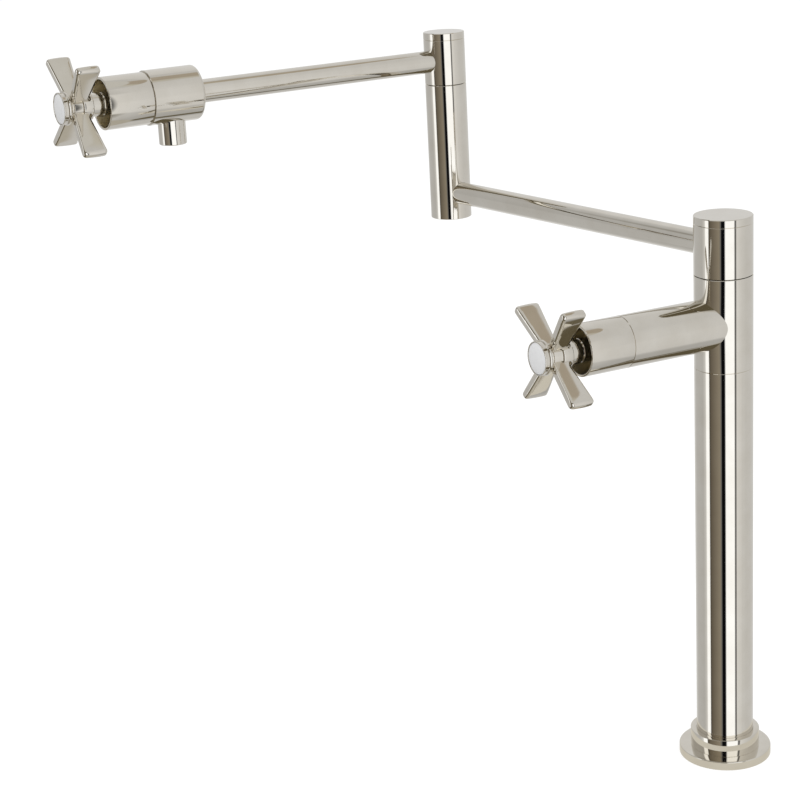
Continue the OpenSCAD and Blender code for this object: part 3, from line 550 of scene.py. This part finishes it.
# %% Flange and collar
FLANGE_RADIUS, FLANGE_THICKNESS = 30.8, 5.8
COLLAR_RADIUS, COLLAR_TOP = 23.1, 17.8
COLUMN_ROOM, COLUMN_SEAT, SHANK_ROOM = 19.05, 3.0, 16.05
FLANGE_PROFILE = [
    (SHANK_ROOM, 0, 0), (FLANGE_RADIUS, 0, 0.2), (FLANGE_RADIUS, FLANGE_THICKNESS, 0.5),
    (COLUMN_ROOM, FLANGE_THICKNESS, 0), (COLUMN_ROOM, COLUMN_SEAT, 0),
    (SHANK_ROOM, COLUMN_SEAT, 0),
]
COLLAR_PROFILE = [
    (COLUMN_ROOM, FLANGE_THICKNESS, 0), (COLLAR_RADIUS, FLANGE_THICKNESS, 0.2),
    (COLLAR_RADIUS, COLLAR_TOP, 0.4), (COLUMN_ROOM, COLLAR_TOP, 0.1),
]
upright = Matrix.Identity(4)
finished("foot_flange", lathe(FLANGE_PROFILE), upright, nickel, "polished_nickel",
         "column", "base_flange")
finished("foot_collar", lathe(COLLAR_PROFILE), upright, nickel, "polished_nickel",
         "column", "base_collar")

# %% [markdown]
# ## The deck
#
# The tap stands on a plain pale deck. For the camera it is nearly white, by a
# soft glow added to an ordinary matt surface, so that the page looks white
# but the shadow under the flange stays. Mirrors don't see the deck: the metal
# reflects the studio around it instead.

# %% Deck
DECK_HALF, DECK_LEVEL = 6, -0.0002
DECK_GREY, DECK_GLOW = 0.42, 0.67


def flat_sheet(name, shape, level):
    """Lays a flat bmesh at a level, in metres, and gives it to the scene."""
    bmesh.ops.translate(shape, verts=shape.verts, vec=(0, 0, level))
    mesh = bpy.data.meshes.new(name)
    shape.to_mesh(mesh)
    shape.free()
    sheet = bpy.data.objects.new(name, mesh)
    bpy.context.scene.collection.objects.link(sheet)
    return sheet


def sheet_finish(sheet, name):
    """Gives a sheet a material with nothing but its output."""
    finish = bpy.data.materials.new(name)
    finish.use_nodes = True
    finish.node_tree.nodes.remove(finish.node_tree.nodes["Principled BSDF"])
    sheet.data.materials.append(finish)
    return finish.node_tree, finish.node_tree.nodes["Material Output"].inputs["Surface"]


shape = bmesh.new()
bmesh.ops.create_grid(shape, x_segments=1, y_segments=1, size=DECK_HALF)
deck = flat_sheet("deck", shape, DECK_LEVEL)
deck.visible_glossy = False
tree, surface = sheet_finish(deck, "pale_deck")
rays = add_node(tree, "LightPath")
matt = add_node(tree, "BsdfDiffuse", Color=(DECK_GREY, DECK_GREY, DECK_GREY, 1))
glow_level = add_node(tree, "Math", operation="MULTIPLY",
                      links={0: rays.outputs["Is Camera Ray"]})
glow_level.inputs[1].default_value = DECK_GLOW
glow = add_node(tree, "Emission", Color=(1, 1, 1, 1),
                links={"Strength": glow_level.outputs[0]})
both = add_node(tree, "AddShader", links={0: matt.outputs[0], 1: glow.outputs[0]})
tree.links.new(both.outputs[0], surface)
print("deck", 2 * DECK_HALF, "m wide")

# %% [markdown]
# Close to the foot the metal shows a painted reflection of the deck: a small
# pale glowing disc, a hand wide, that is no lamp. Only mirrors see it, and the page keeps its
# white.

# %% Glowing disc for a painted floor reflection
REFLECTION_DISC_RADIUS, REFLECTION_DISC_LEVEL = 0.0575, -0.0001
PAINTED_REFLECTION_COLOUR = (0.70, 0.675, 0.61, 1)

shape = bmesh.new()
bmesh.ops.create_circle(shape, cap_ends=True, segments=96, radius=REFLECTION_DISC_RADIUS)
reflection_disc = flat_sheet("reflection_only_disc", shape, REFLECTION_DISC_LEVEL)
reflection_disc.visible_camera = reflection_disc.visible_diffuse = reflection_disc.visible_shadow = False
tree, surface = sheet_finish(reflection_disc, "painted_floor_reflection")
# Painted reflection: the disc glows a pale floor tone that only mirrors see, and it lights
# nothing.
glow = add_node(tree, "Emission", Color=PAINTED_REFLECTION_COLOUR, Strength=1.0)
tree.links.new(glow.outputs[0], surface)
print("reflection_disc", round(2 * REFLECTION_DISC_RADIUS, 3), "m wide")

# %% [markdown]
# ## The studio
#
# Polished metal only looks like metal when it has a room to reflect. The
# world here is that room, written as a pattern of directions: pale grey walls
# behind and at the sides, a tall white panel on either side of a brown screen
# and a dark gap where the camera stands, an olive cloth on the floor and
# under the ceiling in front, and a brown beam overhead. Each ramp below is one
# storey of that room, and the storeys fade into each other by elevation. Matt
# surfaces get one even light instead, and the camera sees plain white.

# %% Studio walls by direction
studio = bpy.data.worlds.new("studio")
bpy.context.scene.world = studio
studio.use_nodes = True
tree = studio.node_tree
tree.nodes.clear()
direction = add_node(tree, "TexCoord").outputs["Generated"]
parts = add_node(tree, "SeparateXYZ", links={0: direction})
heading = add_node(tree, "Math", operation="ARCTAN2",
                   links={0: parts.outputs["Y"], 1: parts.outputs["X"]})
round_the_room = add_node(tree, "MapRange", links={0: heading.outputs[0]})
round_the_room.inputs["From Min"].default_value = -math.pi
round_the_room.inputs["From Max"].default_value = math.pi
height = add_node(tree, "Math", operation="ARCSINE", links={0: parts.outputs["Z"]})


def wall(stops):
    """Colour ramp round the room from (heading in degrees, grey level or colour)."""
    row = []
    for degrees, level in stops:
        colour = level if isinstance(level, tuple) else (level,) * 3
        row.append(((degrees + 180) / 360, colour))
    return add_ramp(tree, round_the_room.outputs[0], row)


def between(low, high):
    """0 below one elevation in degrees and 1 above another, with a soft change."""
    fade = add_node(tree, "MapRange", interpolation_type="SMOOTHSTEP",
                    links={0: height.outputs[0]})
    fade.inputs["From Min"].default_value = math.radians(low)
    fade.inputs["From Max"].default_value = math.radians(high)
    return fade.outputs[0]


def crossfade(factor, lower, upper):
    mix = add_node(tree, "Mix", data_type="RGBA")
    tree.links.new(factor, mix.inputs[0])
    for socket, source in ((mix.inputs[6], lower), (mix.inputs[7], upper)):
        if isinstance(source, tuple):
            socket.default_value = (*source, 1)
        else:
            tree.links.new(source, socket)
    return mix.outputs[2]


BROWN_DEEP, BROWN_PALE = (0.150, 0.128, 0.098), (0.300, 0.262, 0.205)
HIGH_BROWN_DEEP, HIGH_BROWN_PALE = (0.19, 0.165, 0.13), (0.34, 0.30, 0.24)
SCREEN_EDGE = (0.08, 0.07, 0.055)
BEAM_BROWN, BEAM_EDGE = (0.445, 0.395, 0.325), (0.58, 0.56, 0.50)
OLIVE = (0.155, 0.135, 0.090)
PANEL = (1.28, 1.31, 1.36)
BLACK = (0.004, 0.004, 0.005)
ZENITH, STRAIGHT_DOWN = (0.640, 0.635, 0.615), (0.50, 0.475, 0.42)

low_wall = wall([
    (-180, 0.62), (-170, 0.56), (-125, 0.54), (-112, 0.72), (-108, PANEL), (-95.5, PANEL),
    (-94, SCREEN_EDGE), (-86, BROWN_DEEP), (-52, BROWN_PALE), (-46, 0.16),
    (-44, BLACK), (-32, BLACK), (-28, PANEL), (5, PANEL), (8, 0.14), (13, 0.16),
    (15, 0.84), (32, 0.74), (60, 0.66), (95, 0.66), (125, 0.70), (148, 0.76), (165, 0.80),
    (180, 0.62),
])
high_wall = wall([
    (-180, 0.62), (-165, 0.52), (-140, 0.52), (-112, 0.46), (-108, PANEL), (-95.5, PANEL),
    (-94, SCREEN_EDGE), (-86, HIGH_BROWN_DEEP), (-52, HIGH_BROWN_PALE),
    (-46, 0.16), (-44, BLACK), (-32, BLACK), (-28, PANEL), (5, PANEL), (8, 0.14), (13, 0.2),
    (15, 0.80), (32, 0.72), (50, 0.66), (100, 0.655), (125, 0.68), (148, 0.74), (165, 0.76),
    (180, 0.62),
])
ceiling = wall([
    (-180, 0.62), (45, 0.62), (62, BEAM_EDGE), (72, BEAM_BROWN),
    (104, BEAM_BROWN), (112, 0.62), (180, 0.62),
])
front_ceiling = wall([
    (-180, 0.62), (-158, 0.52), (-140, OLIVE), (-112, OLIVE), (-104, 0.85), (-98, 0.85),
    (-92, OLIVE), (0, OLIVE), (12, 0.60), (32, 0.70), (50, 0.66), (125, 0.68), (148, 0.74),
    (165, 0.76), (180, 0.62),
])
floor_edge = wall([
    (-180, 0.60), (-152, 0.50), (-146, OLIVE), (12, OLIVE), (28, 0.62), (55, 0.50),
    (75, 0.48), (81, OLIVE), (96, OLIVE), (98, 0.43), (104, 0.46), (118, 0.64), (180, 0.60),
])
room = crossfade(between(-2, 8), low_wall, high_wall)
room = crossfade(between(34, 42), room, front_ceiling)
room = crossfade(between(60.1, 60.7), room, ceiling)
room = crossfade(between(67.4, 68.6), room, ZENITH)
ground = crossfade(between(-46, -38), floor_edge, room)
ground = crossfade(between(-70, -67.5), STRAIGHT_DOWN, ground)
print("studio walls:", len(tree.nodes), "nodes")

# %% [markdown]
# A world can answer each kind of ray in its own way. The light path says what
# a ray left from, and two mix shaders choose by it: the room for mirrors, the
# even light for matt surfaces and plain white for the camera.

# %% World output
rays = add_node(tree, "LightPath")
MATT_LIGHT = 0.88
metal_sees = add_node(tree, "Background", links={"Color": ground}, Strength=1.0)
matt_gets = add_node(tree, "Background", Color=(1, 1, 1, 1), Strength=MATT_LIGHT)
camera_sees = add_node(tree, "Background", Color=(1, 1, 1, 1), Strength=1.0)
mirror_rays = add_node(tree, "Math", operation="MAXIMUM", links={
    0: rays.outputs["Is Glossy Ray"], 1: rays.outputs["Is Transmission Ray"]})
lit = add_node(tree, "MixShader", links={
    0: mirror_rays.outputs[0], 1: matt_gets.outputs[0], 2: metal_sees.outputs[0]})
seen = add_node(tree, "MixShader", links={
    0: rays.outputs["Is Camera Ray"], 1: lit.outputs[0], 2: camera_sees.outputs[0]})
add_node(tree, "OutputWorld", links={"Surface": seen.outputs[0]})
print("world ready")

# %% [markdown]
# ## One soft lamp
#
# The even world light alone would leave the deck without a shadow. A large
# overhead panel gives one with a wide, soft edge. It is hidden from mirrors,
# because the walls above already give the metal its bright strips.

# %% Overhead panel
LAMP_PLACE, LAMP_AIM = (0.5, -0.3, 1.8), (0.1, 0, 0.1)
LAMP_LENGTH, LAMP_WIDTH, LAMP_WATTS = 1.6, 1.2, 12
panel = bpy.data.lights.new("overhead_panel", "AREA")
panel.shape, panel.size, panel.size_y = "RECTANGLE", LAMP_LENGTH, LAMP_WIDTH
panel.energy = LAMP_WATTS
overhead = bpy.data.objects.new("overhead_panel", panel)
overhead.location = LAMP_PLACE
toward_tap = Vector(LAMP_AIM) - overhead.location
overhead.rotation_euler = toward_tap.to_track_quat("-Z", "Y").to_euler()
overhead.visible_glossy = False
bpy.context.scene.collection.objects.link(overhead)
print("lamp at", tuple(overhead.location))
